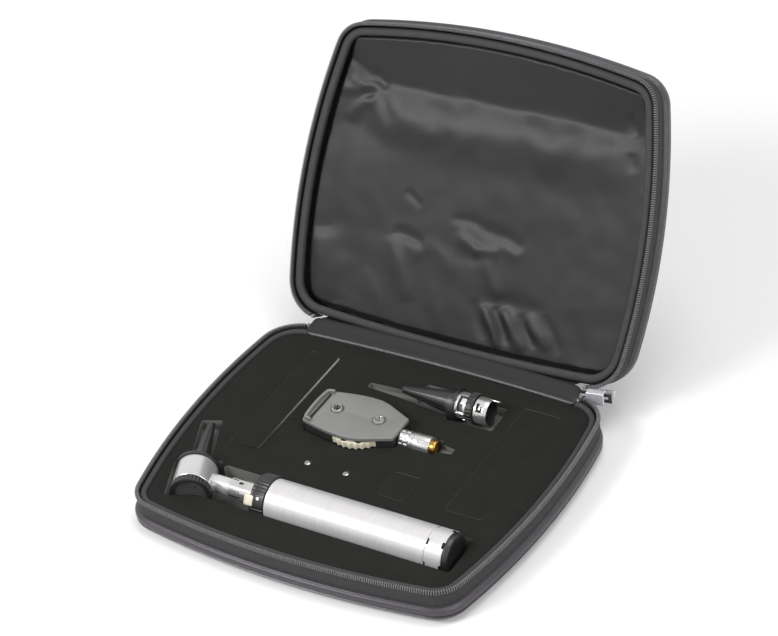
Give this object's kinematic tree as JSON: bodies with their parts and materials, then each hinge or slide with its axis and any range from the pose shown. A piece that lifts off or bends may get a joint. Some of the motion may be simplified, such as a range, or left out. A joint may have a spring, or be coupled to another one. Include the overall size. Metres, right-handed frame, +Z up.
{
  "type": "otoscope carry case",
  "caption": "Zippered hard carry case holding a battery otoscope, an ophthalmoscope head and a nasal speculum head in a flocked foam insert, lid open.",
  "frame": {"origin": "centre of the flat underside of the base half, on the surface it rests on", "axes": "+Z up, +X to the right along the hinge as seen from the front, +Y towards the hinge at the back"},
  "size_m": [0.256, 0.3318, 0.2044],
  "materials": {
    "shell_cover": "glossy leatherette over a moulded shell",
    "spine_cover": "leatherette",
    "flocked_foam": "black flocked foam",
    "satin": "dark grey satin over padding",
    "binding": "sewn fabric roll",
    "zip_tape": "woven tape",
    "zip_teeth": "moulded coil teeth",
    "zip_metal": "plated metal",
    "tube_aluminium": "satin turned aluminium",
    "chromed_brass": "polished chrome",
    "black_plastic": "black moulded plastic",
    "cream_plastic": "cream plastic",
    "plate_enamel": "light grey satin enamel",
    "housing_black": "black plastic",
    "optical_glass": "clear",
    "lamp_glass": "small lamp",
    "contact_brass": "turned brass",
    "cell_jacket": "printed cell jacket",
    "spring_steel": "bright wire"
  },
  "bodies": {
    "base": {"base_shell": "shell_cover", "foam_insert": "flocked_foam", "base_binding": "binding", "base_zipper_tape": "zip_tape", "base_zipper_teeth": "zip_teeth", "base_end_stops": "zip_metal", "base_spine": "spine_cover", "zipper_tail": "zip_tape"},
    "lid": {"lid_shell": "shell_cover", "lid_lining": "satin", "lid_binding": "binding", "lid_zipper_tape": "zip_tape", "lid_zipper_teeth": "zip_teeth", "lid_end_stops": "zip_metal", "lid_spine": "spine_cover"},
    "slider": {"zipper_slider": "zip_metal"},
    "pull": {"zipper_pull": "zip_metal"},
    "left_plug": {"left_storage_plug": "flocked_foam"},
    "right_plug": {"right_storage_plug": "flocked_foam"},
    "centre_plug": {"centre_storage_plug": "flocked_foam"},
    "bulb_1": {"spare_bulb_1": "lamp_glass"},
    "bulb_2": {"spare_bulb_2": "lamp_glass"},
    "otoscope": {"handle_tube": "tube_aluminium", "battery_cells": "cell_jacket", "battery_spring": "spring_steel", "contact_disc": "contact_brass", "handle_sleeve": "chromed_brass", "otoscope_neck": "chromed_brass", "otoscope_barrel": "chromed_brass", "otoscope_bulb": "lamp_glass", "speculum_seat": "black_plastic"},
    "collar": {"rheostat_collar": "black_plastic"},
    "button": {"switch_button": "cream_plastic"},
    "end_cap": {"handle_end_cap": "tube_aluminium", "handle_end_plug": "black_plastic"},
    "lens_cap": {"lens_ring": "black_plastic", "magnifier_lens": "optical_glass"},
    "speculum": {"ear_speculum": "black_plastic"},
    "ophthalmoscope": {"ophth_housing": "housing_black", "ophth_faceplate": "plate_enamel", "brow_rest": "plate_enamel", "sight_bezel": "chromed_brass", "window_bezel": "chromed_brass", "window_lens": "optical_glass", "wheel_pivot": "chromed_brass", "ophth_neck": "chromed_brass", "ophth_sleeve": "chromed_brass", "ophth_contact": "contact_brass", "ophth_bulb": "lamp_glass"},
    "wheel": {"lens_wheel": "cream_plastic", "wheel_lenses": "optical_glass"},
    "nasal": {"nasal_base_ring": "black_plastic", "nasal_fixed_blade": "black_plastic", "blade_pivot_pin": "spring_steel", "nasal_socket": "chromed_brass", "nasal_coupling": "chromed_brass"},
    "turn_ring": {"nasal_turn_ring": "black_plastic"},
    "blade": {"nasal_moving_blade": "black_plastic"}
  },
  "joints": [
    {"name": "lid_hinge", "type": "hinge", "parent": "base", "child": "lid", "pos_m": [0, 0.103, 0.025], "axis": [-1, 0, 0], "range_deg": [-120, 0]},
    {"name": "slider_travel", "type": "slide", "parent": "base", "child": "slider", "axis": [0.989, 0.1478, 0], "range_m": [0, 0.002]},
    {"name": "pull_swing", "type": "hinge", "parent": "slider", "child": "pull", "pos_m": [0.10729, 0.10827, 0.023], "axis": [0, 0, 1], "range_deg": [-6, 40]},
    {"name": "left_plug_lift", "type": "slide", "parent": "base", "child": "left_plug", "axis": [0, 0, 1], "range_m": [0, 0.06]},
    {"name": "right_plug_lift", "type": "slide", "parent": "base", "child": "right_plug", "axis": [0, 0, 1], "range_m": [0, 0.06]},
    {"name": "centre_plug_lift", "type": "slide", "parent": "base", "child": "centre_plug", "axis": [0, 0, 1], "range_m": [0, 0.06]},
    {"name": "bulb_1_lift", "type": "slide", "parent": "base", "child": "bulb_1", "axis": [0, 0, 1], "range_m": [0, 0.04]},
    {"name": "bulb_2_lift", "type": "slide", "parent": "base", "child": "bulb_2", "axis": [0, 0, 1], "range_m": [0, 0.04]},
    {"name": "otoscope_lift", "type": "slide", "parent": "base", "child": "otoscope", "axis": [0, 0, 1], "range_m": [0, 0.06]},
    {"name": "collar_turn", "type": "hinge", "parent": "otoscope", "child": "collar", "pos_m": [-0.034, -0.0568, 0.0195], "axis": [-1, 0, 0], "range_deg": [0, 90]},
    {"name": "button_press", "type": "slide", "parent": "collar", "child": "button", "axis": [1, 0, 0], "range_m": [0, 0.0015], "stiffness_N_per_m": 400, "springref_m": -0.0005},
    {"name": "end_cap_turn", "type": "hinge", "parent": "otoscope", "child": "end_cap", "pos_m": [0.088, -0.0568, 0.0195], "axis": [1, 0, 0], "range_deg": [0, 360]},
    {"name": "lens_ring_turn", "type": "hinge", "parent": "otoscope", "child": "lens_cap", "pos_m": [-0.0806, -0.0732, 0.0195], "axis": [-0.3746, 0.9272, 0], "range_deg": [0, 90]},
    {"name": "speculum_twist", "type": "hinge", "parent": "otoscope", "child": "speculum", "pos_m": [-0.0806, -0.0732, 0.0195], "axis": [-0.3746, 0.9272, 0], "range_deg": [0, 60]},
    {"name": "ophthalmoscope_lift", "type": "slide", "parent": "base", "child": "ophthalmoscope", "axis": [0, 0, 1], "range_m": [0, 0.06]},
    {"name": "lens_wheel_spin", "type": "hinge", "parent": "ophthalmoscope", "child": "wheel", "pos_m": [-0.015, 0.0246, 0.0225], "axis": [0, 0, 1], "continuous": true},
    {"name": "nasal_lift", "type": "slide", "parent": "base", "child": "nasal", "axis": [0, 0, 1], "range_m": [0, 0.06]},
    {"name": "nasal_ring_turn", "type": "hinge", "parent": "nasal", "child": "turn_ring", "pos_m": [0.0444, 0.063, 0.025], "axis": [1, 0, 0], "range_deg": [0, 60]},
    {"name": "blade_open", "type": "hinge", "parent": "nasal", "child": "blade", "pos_m": [0.0305, 0.063, 0.0314], "axis": [0, 1, 0], "range_deg": [0, 15]}
  ],
  "couplings": [
    {"joint": "nasal_ring_turn", "follows": "blade_open", "ratio": 4}
  ]
}
